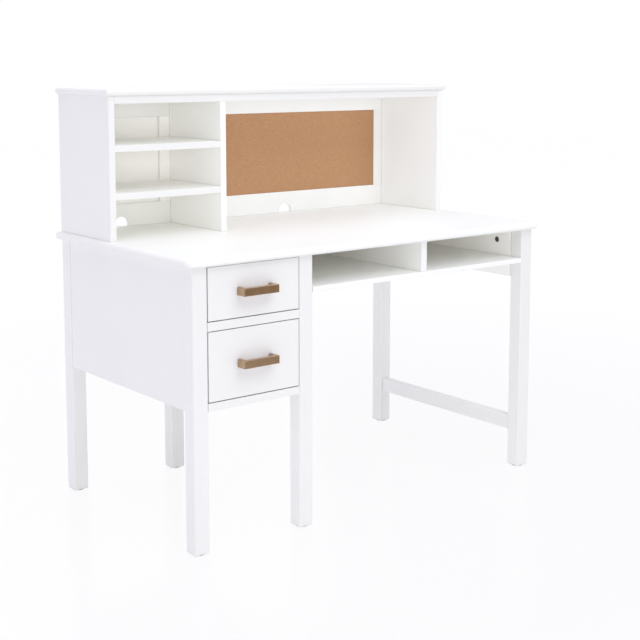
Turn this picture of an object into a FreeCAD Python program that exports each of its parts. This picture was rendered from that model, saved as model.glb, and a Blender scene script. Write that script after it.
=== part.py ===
import FreeCAD, Part
import math
import os
import Sketcher

# A student desk with a drawer pedestal on its left, two open cubbies over the kneehole and a hutch
# that stands on the rear of the desktop. Millimetres, +Z up, +X to the sitter's right, +Y to the rear.
# The row's origin lies on the floor, midway between the ends of the desktop and midway between the
# front of the drawer pulls and the rear face of the legs. Places are written in the desk's own
# coordinates: x from the outer face of the left legs, y from the front face of the front legs, z from
# the floor.

SIZES = {
    # Desk
    "frame_width": 1060,          # over the outer faces of the end legs
    "frame_depth": 596,           # front face of the front legs to rear face of the rear legs
    "desk_height": 660,           # floor to writing surface
    "panel": 16,                  # thickness of side panels, aprons and hutch boards
    "top_thickness": 18,
    "top_side_overhang": 16,
    "top_front_overhang": 14,
    "top_corner_radius": 22,      # front corners in plan
    "top_edge_radius": 8.6,       # bullnose of the two sides and the front
    "edge_easing": 1.2,           # small round on the front arrises of boards

    # Legs
    "leg_size": 38,               # square section
    "leg_edge_radius": 3,
    "foot_chamfer": 2,
    "glide_radius": 14,
    "glide_height": 2.5,

    # Pedestal
    "pedestal_width": 326,        # over the outer faces of its legs
    "pedestal_base": 322,         # floor to underside of the bottom rail
    "panel_recess": 2,            # outer side panel behind the legs' outer face
    "rail_bottom_height": 18,
    "rail_middle_height": 20,
    "base_board": 9,              # thickness of the pedestal's bottom
    "base_rise": 5,               # underside of that bottom above the underside of the rail

    # Drawers
    "drawer_gap": 2,              # running gap round the inset fronts
    "front_thickness": 18,
    "lower_front_height": 155.5,
    "box_board": 12,              # sides and backs
    "box_depth": 440,
    "box_rise": 8,                # underside of the box above the lower edge of its front
    "box_headroom": 13.5,         # top of the box below the upper edge of its front
    "bottom_thickness": 4,
    "bottom_rise": 8,             # groove above the underside of the box
    "groove_depth": 5,
    "groove_play": 0.4,           # groove width over the bottom's thickness, and play at its ends

    # Drawer pulls
    "pull_length": 94,
    "pull_height": 18,
    "pull_reach": 29,             # front of the bar in front of the drawer front
    "pull_bar": 10,               # depth of the bar
    "pull_post": 9,               # width of each post
    "pull_chamfer": 0.8,
    "screw_radius": 2,            # shank of the pull screws
    "screw_play": 0.15,           # hole radius over shank radius
    "screw_head_radius": 4,
    "screw_head_height": 2.2,
    "screw_grip": 10,             # thread inside the post

    # Ball-bearing runners, from the mounting face towards the drawer
    "runner_thickness": 12.7,
    "runner_height": 45,
    "runner_length": 450,
    "runner_setback": 2,          # behind the rear face of the drawer front
    "runner_gauge": 1.2,          # steel thickness
    "runner_lip": 1.4,            # turned edge at the mouth of each channel
    "ball_race": 3.6,             # height between nested flanges
    "cage_gauge": 0.6,
    "running_gap": 0.3,
    "cage_length": 150,
    "cage_setback": 20,           # from the end of the middle member
    "batten_height": 46,

    # Kneehole and cubbies
    "apron_height": 128,
    "cubby_height": 75,           # clear height under the desktop
    "cubby_shelf_thickness": 12,
    "cubby_divider_thickness": 18,
    "stretcher_thickness": 22,
    "stretcher_height": 38,
    "stretcher_rise": 95,         # floor to underside

    # Hutch
    "hutch_height": 356,          # writing surface to the top of the hutch
    "hutch_depth": 248,           # front of the side panels to the rear face
    "hutch_overhang": 8,          # top board past the sides and past the front
    "hutch_edge_radius": 7.6,     # bullnose of the top board
    "bay_width": 295,             # clear width of the shelved bay
    "hutch_rail_height": 18,
    "shelf_setback": 1,           # front of the shelves behind the front of the sides
    "back_frame": 11,             # thickness of the rails and outer stiles of the back
    "stile_width": 31,            # seen width of each stile
    "back_rail_top": 61,          # seen height of the upper rail
    "back_rail_bottom": 57.5,     # height of the lower rail
    "back_panel": 4,
    "rebate_width": 8,
    "cork_thickness": 5,
    "notch_radius": 22,           # arched cable notches in the lower rail
    "notch_spring": 4,            # straight part below the arch

    # Knock-down fasteners
    "cam_radius": 7.5,
    "cam_depth": 12.5,
    "cam_edge": 34,               # lock's centre from the edge that its bolt leaves by
    "cam_from_leg": 51,           # lock's centre from the nearest leg
    "cam_slot_length": 9,         # crossed screwdriver slots in the lock's face
    "cam_slot_width": 1.8,
    "cam_slot_depth": 2,
    "bolt_radius": 3,
    "bolt_grip": 11,              # length inside the desktop
    "fastener_play": 0.15,        # hole radius over fastener radius

    # Wood screws that hold the hutch down, driven up through the desktop
    "wood_screw_radius": 2,
    "wood_screw_grip": 22,        # length inside the hutch's lower rail
    "wood_screw_head_radius": 4,
    "wood_screw_head_height": 2,
    "wood_screw_inset": 90,       # from the end of each bay
}


class Size:
    """A length: its number, and the expression on the sheet that gives it."""

    def __init__(self, value, text):
        self.value = value
        self.text = text

    def __add__(self, other):
        return combine(self, other, "+", self.value + value_of(other))

    def __sub__(self, other):
        if self.text == text_of(other):
            return Size(0, "0")
        return combine(self, other, "-", self.value - value_of(other))

    def __mul__(self, factor):
        return combine(self, factor, "*", self.value * factor)

    def __truediv__(self, divisor):
        return combine(self, divisor, "/", self.value / divisor)

    def __neg__(self):
        return Size(-self.value, f"(-{self.text})")


def value_of(length):
    """The number of a Size or a plain number."""
    return length.value if isinstance(length, Size) else length


def text_of(length):
    """The expression of a Size or a plain number."""
    return length.text if isinstance(length, Size) else str(length)


def combine(left, right, sign, value):
    """The Size that one operation on two lengths gives, without adding nothing."""
    if sign == "+" and left.text == "0":
        return right
    if sign in "+-" and text_of(right) == "0":
        return left
    return Size(value, f"({left.text} {sign} {text_of(right)})")


class Sheet:
    """The driving sizes, one named cell each, read back as Size attributes."""

    def __init__(self, document, sizes):
        cells = document.addObject("Spreadsheet::Sheet", "Sizes")
        for row, (name, value) in enumerate(sizes.items(), 1):
            cells.set(f"A{row}", name)
            cells.set(f"B{row}", str(value))
            cells.setAlias(f"B{row}", name)
            setattr(self, name, Size(value, f"Sizes.{name}"))


doc = FreeCAD.newDocument("student_desk")
s = Sheet(doc, SIZES)
doc.recompute()

ZERO = Size(0, "0")

# The origin plane across each axis, and the two axes that its sketches are drawn on
PLANES = {"x": ("YZ_Plane", "yz"), "y": ("XZ_Plane", "xz"), "z": ("XY_Plane", "xy")}


def bind(owner, name, length):
    """Tie a property to the sheet."""
    owner.setExpression(name, text_of(length))


def hold_along(sketch, geometry, point, kind, axis, length):
    """Hold one point of a sketch by its distance from the sketch's origin along one axis."""
    if text_of(length) == "0":
        sketch.addConstraint(Sketcher.Constraint("PointOnObject", geometry, point, axis))
        return
    index = sketch.addConstraint(
        Sketcher.Constraint(kind, -1, 1, geometry, point, value_of(length)))
    bind(sketch, f"Constraints[{index}]", length)


def hold_height(sketch, geometry, point, height):
    """Hold one point of a sketch at a height above the sketch's first axis."""
    hold_along(sketch, geometry, point, "DistanceY", -1, height)


def hold(sketch, geometry, point, place):
    """Hold one point of a sketch in both directions."""
    hold_along(sketch, geometry, point, "DistanceX", -2, place[0])
    hold_height(sketch, geometry, point, place[1])


def flat(place):
    """The sketch point at a pair of lengths."""
    return FreeCAD.Vector(value_of(place[0]), value_of(place[1]), 0)


class Polygon:
    """A closed outline with straight sides."""

    def __init__(self, *corners):
        self.corners = corners

    def draw(self, sketch, origin):
        corners = [(x - origin[0], y - origin[1]) for x, y in self.corners]
        first = sketch.GeometryCount
        count = len(corners)
        for index, corner in enumerate(corners):
            following = corners[(index + 1) % count]
            sketch.addGeometry(Part.LineSegment(flat(corner), flat(following)), False)
        for index, corner in enumerate(corners):
            following = first + (index + 1) % count
            sketch.addConstraint(Sketcher.Constraint("Coincident", first + index, 2, following, 1))
            hold(sketch, first + index, 1, corner)


class Circle:
    """A round outline."""

    def __init__(self, x, y, radius):
        self.centre = (x, y)
        self.radius = radius

    def draw(self, sketch, origin):
        centre = (self.centre[0] - origin[0], self.centre[1] - origin[1])
        circle = Part.Circle(flat(centre), FreeCAD.Vector(0, 0, 1), self.radius.value)
        index = sketch.addGeometry(circle, False)
        hold(sketch, index, 3, centre)
        radius = sketch.addConstraint(Sketcher.Constraint("Radius", index, self.radius.value))
        bind(sketch, f"Constraints[{radius}]", self.radius)


class Arch:
    """An opening with a flat base, two upright sides and a half-round head."""

    def __init__(self, x, base, radius, spring):
        self.x = x
        self.base = base
        self.radius = radius
        self.spring = spring

    def draw(self, sketch, origin):
        left = self.x - self.radius - origin[0]
        right = self.x + self.radius - origin[0]
        base = self.base - origin[1]
        spring = self.base + self.spring - origin[1]
        centre = (self.x - origin[0], spring)
        corners = [(left, spring), (left, base), (right, base), (right, spring)]
        first = sketch.GeometryCount
        for start, end in zip(corners, corners[1:]):
            sketch.addGeometry(Part.LineSegment(flat(start), flat(end)), False)
        circle = Part.Circle(flat(centre), FreeCAD.Vector(0, 0, 1), self.radius.value)
        arc = sketch.addGeometry(Part.ArcOfCircle(circle, 0, math.pi), False)
        for index, corner in enumerate(corners[:3]):
            hold(sketch, first + index, 1, corner)
        hold(sketch, first + 2, 2, corners[3])
        for index in (0, 1):
            sketch.addConstraint(
                Sketcher.Constraint("Coincident", first + index, 2, first + index + 1, 1))
        sketch.addConstraint(Sketcher.Constraint("Coincident", first + 2, 2, arc, 1))
        sketch.addConstraint(Sketcher.Constraint("Coincident", arc, 2, first, 1))
        hold_height(sketch, arc, 3, spring)


def rectangle(x_low, y_low, x_high, y_high):
    """The four-cornered Polygon between two opposite corners."""
    return Polygon((x_low, y_low), (x_high, y_low), (x_high, y_high), (x_low, y_high))


class Piece:
    """One sub-part: a body that stands at a corner given in the desk's own coordinates."""

    def __init__(self, name, x=ZERO, y=ZERO, z=ZERO):
        self.body = doc.addObject("PartDesign::Body", name)
        self.body.Label = name
        self.body.AllowCompound = True
        self.corner = {"x": x, "y": y, "z": z}
        left_face = -s.frame_width / 2
        front_face = (s.pull_reach - s.frame_depth) / 2
        for axis, place in (("x", left_face + x), ("y", front_face + y), ("z", z)):
            bind(self.body, f".Placement.Base.{axis}", place)

    def sketch(self, axis, start, outlines):
        """A sketch across an axis, with its outlines given in the desk's coordinates."""
        plane, across = PLANES[axis]
        sketch = self.body.newObject("Sketcher::SketchObject", "Outline")
        support = next(part for part in self.body.Origin.OriginFeatures if part.Role == plane)
        sketch.AttachmentSupport = (support, [""])
        sketch.MapMode = "FlatFace"
        offset = start - self.corner[axis]
        bind(sketch, ".AttachmentOffset.Base.z", -offset if axis == "y" else offset)
        origin = [self.corner[letter] for letter in across]
        for outline in outlines:
            outline.draw(sketch, origin)
        return sketch

    def add(self, axis, start, length, *outlines):
        """Extrude outlines along an axis, from start towards the axis's positive end."""
        pad = self.body.newObject("PartDesign::Pad", "Pad")
        pad.Profile = self.sketch(axis, start, outlines)
        bind(pad, "Length", length)
        pad.Reversed = axis == "y"
        return self

    def cut(self, axis, start, length, *outlines):
        """Cut outlines along an axis, from start towards the axis's positive end."""
        pocket = self.body.newObject("PartDesign::Pocket", "Pocket")
        pocket.Profile = self.sketch(axis, start, outlines)
        bind(pocket, "Length", length)
        pocket.Reversed = axis != "y"
        return self

    def ease(self, radius, chosen, kind="Fillet"):
        """Round or chamfer the edges of the solid so far that a test picks."""
        doc.recompute()
        base = self.body.Tip
        names = [f"Edge{i}" for i, edge in enumerate(base.Shape.Edges, 1) if chosen(edge)]
        feature = self.body.newObject("PartDesign::" + kind, kind)
        feature.Base = (base, names)
        bind(feature, "Radius" if kind == "Fillet" else "Size", radius)
        self.body.Tip = feature
        return self


def board(name, x, y, z, width, depth, height):
    """A plain board between its low corner and its three sizes."""
    piece = Piece(name, x, y, z)
    return piece.add("z", z, height, rectangle(x, y, x + width, y + depth))


def spans(edge, axis):
    """Whether a straight edge runs along an axis."""
    box = edge.BoundBox
    lengths = {"x": box.XLength, "y": box.YLength, "z": box.ZLength}
    return lengths[axis] > 0.99 * edge.Length


def at(edge, axis, place):
    """Whether all of an edge lies at one place along an axis of its own body."""
    box = edge.BoundBox
    low, high = {"x": (box.XMin, box.XMax), "y": (box.YMin, box.YMax), "z": (box.ZMin, box.ZMax)}[axis]
    return abs(low - value_of(place)) < 0.01 and abs(high - value_of(place)) < 0.01


# Places that several pieces share
under_top = s.desk_height - s.top_thickness
rear_legs = s.frame_depth - s.leg_size              # front face of the rear legs
middle_legs = s.pedestal_width - s.leg_size         # left face of the pedestal's right legs
right_legs = s.frame_width - s.leg_size             # inner face of the right legs
side_depth = rear_legs - s.leg_size                 # clear depth between front and rear legs

# Drawer openings, from the bottom up
lower_front_base = s.pedestal_base + s.rail_bottom_height + s.drawer_gap
rail_middle_base = lower_front_base + s.lower_front_height + s.drawer_gap
upper_front_base = rail_middle_base + s.rail_middle_height + s.drawer_gap
upper_front_height = under_top - s.drawer_gap - upper_front_base
lower_front_middle = lower_front_base + s.lower_front_height / 2
upper_front_middle = upper_front_base + upper_front_height / 2
opening_width = middle_legs - s.leg_size

# Cubbies over the kneehole
cubby_floor = under_top - s.cubby_height
cubby_base = cubby_floor - s.cubby_shelf_thickness
divider_x = (s.pedestal_width + right_legs - s.cubby_divider_thickness) / 2

# Hutch
hutch_top_base = s.desk_height + s.hutch_height - s.panel
hutch_front = s.frame_depth - s.hutch_depth
hutch_divider_x = s.panel + s.bay_width
back_front = s.frame_depth - s.back_frame           # front face of the framed back
panel_front = s.frame_depth - s.back_panel
hutch_right_x = s.frame_width - s.panel             # inner face of the right side
upper_rail_base = hutch_top_base - s.back_rail_top
lower_rail_top = s.desk_height + s.back_rail_bottom
middle_stile_x = hutch_divider_x - s.stile_width
middle_stile_width = s.stile_width * 2 + s.panel


def build_desktop():
    """The writing surface: rounded front corners and a bullnose on the sides and the front."""
    width = s.frame_width + s.top_side_overhang * 2
    depth = s.frame_depth + s.top_front_overhang
    top = board("desktop", -s.top_side_overhang, -s.top_front_overhang, under_top,
                width, depth, s.top_thickness)
    top.ease(s.top_corner_radius, lambda edge: spans(edge, "z") and at(edge, "y", 0))
    top.ease(s.top_edge_radius, lambda edge: not spans(edge, "z") and not at(edge, "y", depth))
    return top


def build_legs():
    """Six square legs with rounded arrises and a small chamfer at the foot."""
    columns = (("left", ZERO), ("middle", middle_legs), ("right", right_legs))
    for column, x in columns:
        for row, y in (("front", ZERO), ("rear", rear_legs)):
            leg = board(f"leg_{row}_{column}", x, y, s.glide_height,
                        s.leg_size, s.leg_size, under_top - s.glide_height)
            leg.ease(s.leg_edge_radius, lambda edge: spans(edge, "z"))
            leg.ease(s.foot_chamfer, lambda edge: at(edge, "z", 0), "Chamfer")


def build_foot_glides():
    """A round glide nailed under each leg."""
    half = s.leg_size / 2
    discs = [Circle(x + half, y + half, s.glide_radius)
             for x in (ZERO, middle_legs, right_legs) for y in (ZERO, rear_legs)]
    Piece("foot_glides").add("z", ZERO, s.glide_height, *discs)


def build_pedestal():
    """The drawer cabinet's side panels, back, bottom, rails and runner battens."""
    height = under_top - s.pedestal_base
    board("pedestal_side_outer", s.panel_recess, s.leg_size, s.pedestal_base,
          s.panel, side_depth, height)
    board("pedestal_side_inner", s.pedestal_width - s.panel, s.leg_size, s.pedestal_base,
          s.panel, side_depth, height)
    board("pedestal_back", s.leg_size, rear_legs, s.pedestal_base, opening_width, s.panel, height)
    floor_x = s.panel_recess + s.panel
    board("pedestal_bottom", floor_x, s.leg_size, s.pedestal_base + s.base_rise,
          s.pedestal_width - s.panel - floor_x, side_depth, s.base_board)
    for name, base, rail in (("bottom", s.pedestal_base, s.rail_bottom_height),
                             ("middle", rail_middle_base, s.rail_middle_height)):
        board(f"drawer_rail_{name}", s.leg_size, ZERO, base, opening_width, s.leg_size, rail)


def build_battens():
    """Spacers behind the runners, flush with the legs' faces towards the drawers."""
    battens = Piece("runner_battens")
    outer_x = s.panel_recess + s.panel
    inner_x = s.pedestal_width - s.panel
    for middle in (lower_front_middle, upper_front_middle):
        base = middle - s.batten_height / 2
        battens.add("z", base, s.batten_height,
                    rectangle(outer_x, s.leg_size, s.leg_size, rear_legs),
                    rectangle(middle_legs, s.leg_size, inner_x, rear_legs))


def build_aprons():
    """Aprons under the desktop round the kneehole, and the low stretcher on the right."""
    base = under_top - s.apron_height
    side = board("side_apron", right_legs, s.leg_size, base, s.panel, side_depth, s.apron_height)
    board("back_apron", s.pedestal_width, rear_legs, base,
          right_legs - s.pedestal_width, s.panel, s.apron_height)
    stretcher_x = right_legs + (s.leg_size - s.stretcher_thickness) / 2
    stretcher = board("side_stretcher", stretcher_x, s.leg_size, s.stretcher_rise,
                      s.stretcher_thickness, side_depth, s.stretcher_height)
    stretcher.ease(s.edge_easing, lambda edge: spans(edge, "y"))
    return side


def build_cubbies():
    """The shelf over the kneehole and the upright that parts it into two cubbies."""
    shelf = board("cubby_shelf", s.pedestal_width, ZERO, cubby_base,
                  right_legs - s.pedestal_width, rear_legs, s.cubby_shelf_thickness)
    shelf.ease(s.edge_easing, lambda edge: spans(edge, "x") and at(edge, "y", 0))
    divider = board("cubby_divider", divider_x, ZERO, cubby_floor,
                    s.cubby_divider_thickness, rear_legs, s.cubby_height)
    divider.ease(s.edge_easing, lambda edge: spans(edge, "z") and at(edge, "y", 0))


def build_hutch_case():
    """Hutch top, sides, divider, two shelves and the front rail under the top."""
    top = board("hutch_top", -s.hutch_overhang, hutch_front - s.hutch_overhang, hutch_top_base,
                s.frame_width + s.hutch_overhang * 2, s.hutch_depth + s.hutch_overhang, s.panel)
    rear = s.hutch_depth + s.hutch_overhang
    top.ease(s.hutch_edge_radius, lambda edge: not spans(edge, "z") and not at(edge, "y", rear))

    height = hutch_top_base - s.desk_height
    left = board("hutch_side_left", ZERO, hutch_front, s.desk_height, s.panel, s.hutch_depth, height)
    right = board("hutch_side_right", hutch_right_x, hutch_front, s.desk_height,
                  s.panel, s.hutch_depth, height)
    rail_base = hutch_top_base - s.hutch_rail_height
    rail_rear = hutch_front + s.panel
    divider = Piece("hutch_divider", hutch_divider_x, hutch_front, s.desk_height)
    divider.add("x", hutch_divider_x, s.panel, Polygon(
        (hutch_front, s.desk_height), (back_front, s.desk_height), (back_front, hutch_top_base),
        (rail_rear, hutch_top_base), (rail_rear, rail_base), (hutch_front, rail_base)))
    for side in (left, right, divider):
        side.ease(s.edge_easing, lambda edge: spans(edge, "z") and at(edge, "y", 0))

    rail = board("hutch_front_rail", s.panel, hutch_front, rail_base,
                 hutch_right_x - s.panel, s.panel, s.hutch_rail_height)
    rail.ease(s.edge_easing, lambda edge: spans(edge, "x") and at(edge, "y", 0) and at(edge, "z", 0))

    clear_height = (rail_base - s.desk_height - s.panel * 2) / 3
    shelf_front = hutch_front + s.shelf_setback
    for count, name in ((1, "lower"), (2, "upper")):
        base = s.desk_height + clear_height * count + s.panel * (count - 1)
        shelf = board(f"hutch_shelf_{name}", s.panel, shelf_front, base,
                      s.bay_width, back_front - shelf_front, s.panel)
        shelf.ease(s.edge_easing, lambda edge: spans(edge, "x") and at(edge, "y", 0))


def build_hutch_back():
    """The framed back: two rails, three stiles, a thin panel let in from behind and the cork board."""
    left = s.panel + s.stile_width
    right = hutch_right_x - s.stile_width
    panel_x = left - s.rebate_width
    panel_width = right - left + s.rebate_width * 2
    panel_base = lower_rail_top - s.rebate_width
    panel_height = upper_rail_base - lower_rail_top + s.rebate_width * 2
    rebate = rectangle(panel_x, panel_base, panel_x + panel_width, panel_base + panel_height)
    rail_length = hutch_right_x - s.panel

    upper = board("hutch_back_rail_top", s.panel, back_front, upper_rail_base,
                  rail_length, s.back_frame, s.back_rail_top)
    upper.cut("y", panel_front, s.back_panel, rebate)

    lower = board("hutch_back_rail_bottom", s.panel, back_front, s.desk_height,
                  rail_length, s.back_frame, s.back_rail_bottom)
    lower.cut("y", panel_front, s.back_panel, rebate)
    right_bay_middle = (hutch_divider_x + s.panel + hutch_right_x) / 2
    notches = [Arch(x, s.desk_height, s.notch_radius, s.notch_spring)
               for x in (s.panel + s.bay_width / 2, right_bay_middle)]
    lower.cut("y", back_front, s.back_frame, *notches)

    stile_height = upper_rail_base - lower_rail_top
    for name, x in (("left", s.panel), ("right", right)):
        stile = board(f"hutch_stile_{name}", x, back_front, lower_rail_top,
                      s.stile_width, s.back_frame, stile_height)
        stile.cut("y", panel_front, s.back_panel, rebate)
    board("hutch_stile_middle", middle_stile_x, back_front, lower_rail_top,
          middle_stile_width, panel_front - back_front, stile_height)
    board("hutch_back_panel", panel_x, panel_front, panel_base, panel_width, s.back_panel, panel_height)
    cork_x = middle_stile_x + middle_stile_width
    board("cork_board", cork_x, panel_front - s.cork_thickness, lower_rail_top,
          right - cork_x, s.cork_thickness, stile_height)
    return lower


def cross(x, y, length, width):
    """A cross of two equal slots."""
    long = length / 2
    short = width / 2
    arm = [(long, -short), (long, short), (short, short)]
    corners = []
    for _ in range(4):
        corners += [(x + across, y + up) for across, up in arm]
        arm = [(-up, across) for across, up in arm]
    return Polygon(*corners)


def build_apron_cams(apron, desktop):
    """Two cam locks in the side apron's inner face, which draw the desktop down by their bolts."""
    height = under_top - s.cam_edge
    depths = (s.leg_size + s.cam_from_leg, rear_legs - s.cam_from_leg)
    middle = right_legs + s.panel / 2
    play = s.fastener_play
    apron.cut("x", right_legs, s.cam_depth, *[Circle(y, height, s.cam_radius) for y in depths])
    apron.cut("z", height, s.cam_edge, *[Circle(middle, y, s.bolt_radius + play) for y in depths])
    desktop.cut("z", under_top, s.bolt_grip,
                *[Circle(middle, y, s.bolt_radius + play) for y in depths])

    locks = Piece("cam_locks", right_legs, z=height)
    locks.add("x", right_legs, s.cam_depth, *[Circle(y, height, s.cam_radius - play) for y in depths])
    locks.cut("x", right_legs, s.cam_slot_depth,
              *[cross(y, height, s.cam_slot_length, s.cam_slot_width) for y in depths])
    locks.cut("z", height, s.cam_radius, *[Circle(middle, y, s.bolt_radius + play) for y in depths])
    bolts = Piece("cam_bolts", middle, z=height)
    bolts.add("z", height + play, s.cam_edge + s.bolt_grip - play * 2,
              *[Circle(middle, y, s.bolt_radius) for y in depths])


def build_hutch_screws(desktop, lower_rail):
    """Four wood screws up through the rear of the desktop into the hutch's lower rail."""
    right_bay_x = hutch_divider_x + s.panel
    places = [s.panel + s.wood_screw_inset, hutch_divider_x - s.wood_screw_inset,
              right_bay_x + s.wood_screw_inset, hutch_right_x - s.wood_screw_inset]
    depth = (back_front + panel_front) / 2
    hole = s.wood_screw_radius + s.fastener_play
    desktop.cut("z", under_top, s.top_thickness, *[Circle(x, depth, hole) for x in places])
    lower_rail.cut("z", s.desk_height, s.wood_screw_grip + s.fastener_play,
                   *[Circle(x, depth, hole) for x in places])
    head_base = under_top - s.wood_screw_head_height
    screws = Piece("hutch_screws", ZERO, depth, head_base)
    screws.add("z", under_top, s.top_thickness + s.wood_screw_grip,
               *[Circle(x, depth, s.wood_screw_radius) for x in places])
    screws.add("z", head_base, s.wood_screw_head_height,
               *[Circle(x, depth, s.wood_screw_head_radius) for x in places])


def channel(face, side, middle, back, mouth, height):
    """A lipped channel's section, its web at one distance from a face and its mouth at another."""
    inward = 1 if mouth.value > back.value else -1
    web = back + s.runner_gauge * inward
    lip = mouth - s.runner_gauge * inward
    half = height / 2
    inner = half - s.runner_gauge
    tip = inner - s.runner_lip
    lower_half = [(back, half), (mouth, half), (mouth, tip), (lip, tip), (lip, inner), (web, inner)]
    corners = [(face + across * side, middle - up) for across, up in lower_half]
    corners += [(face + across * side, middle + up) for across, up in reversed(lower_half)]
    return Polygon(*corners)


def ball_cage(face, side, middle, back, mouth, height):
    """A ball cage's section: a thin web with a row of balls along its upper and lower edges."""
    web = back + s.cage_gauge
    half = height / 2
    inner = half - s.ball_race + s.running_gap * 2
    lower_half = [(back, half), (mouth, half), (mouth, inner), (web, inner)]
    corners = [(face + across * side, middle - up) for across, up in lower_half]
    corners += [(face + across * side, middle + up) for across, up in reversed(lower_half)]
    return Polygon(*corners)


def build_runners(cabinet, drawer_name, middle):
    """One drawer's pair of three-member runners, at the height of the middle of its front."""
    faces = ((s.leg_size, 1), (middle_legs, -1))
    start = s.front_thickness + s.runner_setback
    nest = (s.runner_gauge + s.ball_race) * 2          # height lost from one member to the next
    layer = s.cage_gauge + s.running_gap * 2           # room for a cage's web between two webs
    mouth = s.runner_thickness - s.runner_gauge
    middle_back = s.runner_gauge + layer
    drawer_mouth = middle_back + s.runner_gauge + layer
    middle_start = start + s.running_gap * 2
    middle_length = s.runner_length - s.running_gap * 4

    cabinet.add("y", start, s.runner_length, *[
        channel(face, side, middle, ZERO, mouth, s.runner_height) for face, side in faces])

    moving = Piece(f"runner_middle_{drawer_name}", z=middle)
    moving.add("y", middle_start, middle_length, *[
        channel(face, side, middle, middle_back, mouth, s.runner_height - nest)
        for face, side in faces])

    member = Piece(f"drawer_{drawer_name}_runners", z=middle)
    member.add("y", start, s.box_depth - s.runner_setback, *[
        channel(face, side, middle, s.runner_thickness, drawer_mouth, s.runner_height - nest * 2)
        for face, side in faces])

    cages = Piece(f"ball_cages_{drawer_name}", z=middle)
    cage_mouth = mouth - s.runner_gauge - s.running_gap
    outer_height = s.runner_height - (s.runner_gauge + s.running_gap) * 2
    rear_start = middle_start + middle_length - s.cage_setback - s.cage_length
    for cage_start, back, height in (
            (rear_start, s.runner_gauge + s.running_gap, outer_height),
            (middle_start + s.cage_setback, middle_back + s.runner_gauge + s.running_gap,
             outer_height - nest)):
        cages.add("y", cage_start, s.cage_length, *[
            ball_cage(face, side, middle, back, cage_mouth, height) for face, side in faces])


def build_drawer(name, front_base, front_height):
    """An inset drawer: front, two sides, back, a bottom let into grooves, and a bar pull."""
    front_x = s.leg_size + s.drawer_gap
    front_width = opening_width - s.drawer_gap * 2
    front = board(f"drawer_{name}_front", front_x, ZERO, front_base,
                  front_width, s.front_thickness, front_height)
    front.ease(s.edge_easing, lambda edge: at(edge, "y", 0))

    left = s.leg_size + s.runner_thickness
    right = middle_legs - s.runner_thickness
    inner_left = left + s.box_board
    inner_right = right - s.box_board
    base = front_base + s.box_rise
    box_height = front_height - s.box_rise - s.box_headroom
    rear = s.front_thickness + s.box_depth
    groove_base = base + s.bottom_rise
    groove_height = s.bottom_thickness + s.groove_play
    groove_left = inner_left - s.groove_depth
    groove_right = inner_right + s.groove_depth

    front.cut("y", s.front_thickness - s.groove_depth, s.groove_depth,
              rectangle(groove_left, groove_base, groove_right, groove_base + groove_height))
    for side_name, x, groove_x in (("left", left, groove_left), ("right", inner_right, inner_right)):
        side = board(f"drawer_{name}_side_{side_name}", x, s.front_thickness, base,
                     s.box_board, s.box_depth, box_height)
        side.cut("y", s.front_thickness, s.box_depth,
                 rectangle(groove_x, groove_base, groove_x + s.groove_depth,
                           groove_base + groove_height))
    back_base = groove_base + groove_height
    board(f"drawer_{name}_back", inner_left, rear - s.box_board, back_base,
          inner_right - inner_left, s.box_board, base + box_height - back_base)
    play = s.groove_play / 2
    bottom_front = s.front_thickness - s.groove_depth + play
    board(f"drawer_{name}_bottom", groove_left + play, bottom_front, groove_base,
          groove_right - groove_left - s.groove_play, rear - bottom_front, s.bottom_thickness)
    build_pull(name, front, front_base + front_height / 2)


def build_pull(name, front, height):
    """A rectangular bar pull on two posts, and its two screws through the drawer front."""
    middle = s.pedestal_width / 2
    half = s.pull_length / 2
    post = half - s.pull_post
    bar_rear = s.pull_bar - s.pull_reach
    base = height - s.pull_height / 2
    pull = Piece(f"drawer_{name}_pull", middle, ZERO, base)
    pull.add("z", base, s.pull_height, Polygon(
        (middle - half, -s.pull_reach), (middle + half, -s.pull_reach), (middle + half, ZERO),
        (middle + post, ZERO), (middle + post, bar_rear), (middle - post, bar_rear),
        (middle - post, ZERO), (middle - half, ZERO)))
    pull.ease(s.pull_chamfer, lambda edge: at(edge, "y", -s.pull_reach), "Chamfer")

    centres = [middle - (half - s.pull_post / 2), middle + (half - s.pull_post / 2)]
    hole = s.screw_radius + s.screw_play
    pull.cut("y", -s.screw_grip - s.screw_head_height, s.screw_grip + s.screw_head_height,
             *[Circle(x, height, hole) for x in centres])
    front.cut("y", ZERO, s.front_thickness, *[Circle(x, height, hole) for x in centres])
    screws = Piece(f"drawer_{name}_pull_screws", middle, ZERO, height)
    screws.add("y", -s.screw_grip, s.screw_grip + s.front_thickness,
               *[Circle(x, height, s.screw_radius) for x in centres])
    screws.add("y", s.front_thickness, s.screw_head_height,
               *[Circle(x, height, s.screw_head_radius) for x in centres])


def check_document():
    """Stop if a feature failed, a pocket cut nothing or a sub-part isn't a valid solid."""
    for item in doc.Objects:
        if "Invalid" in item.State or "Error" in item.State:
            raise RuntimeError(f"{item.Name} in {item.getParentGeoFeatureGroup()} failed: {item.State}")
        if item.TypeId == "PartDesign::Pocket":
            owner = item.getParentGeoFeatureGroup().Label
            if item.Shape.isNull():
                raise RuntimeError(f"{item.Name} of {owner} is empty")
            if item.Shape.Volume > item.BaseFeature.Shape.Volume - 0.01:
                raise RuntimeError(f"{item.Name} of {owner} cuts nothing")
    for body in bodies():
        if body.Shape.isNull() or not body.Shape.isValid() or not body.Shape.Solids:
            raise RuntimeError(f"{body.Label} is not a valid solid")


def bodies():
    """Every sub-part of the document."""
    return [item for item in doc.Objects if item.TypeId == "PartDesign::Body"]


def write_parts():
    """Write each sub-part to a STEP file named after it."""
    os.makedirs("parts", exist_ok=True)
    for body in bodies():
        body.Shape.exportStep(f"parts/{body.Label}.step")


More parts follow.
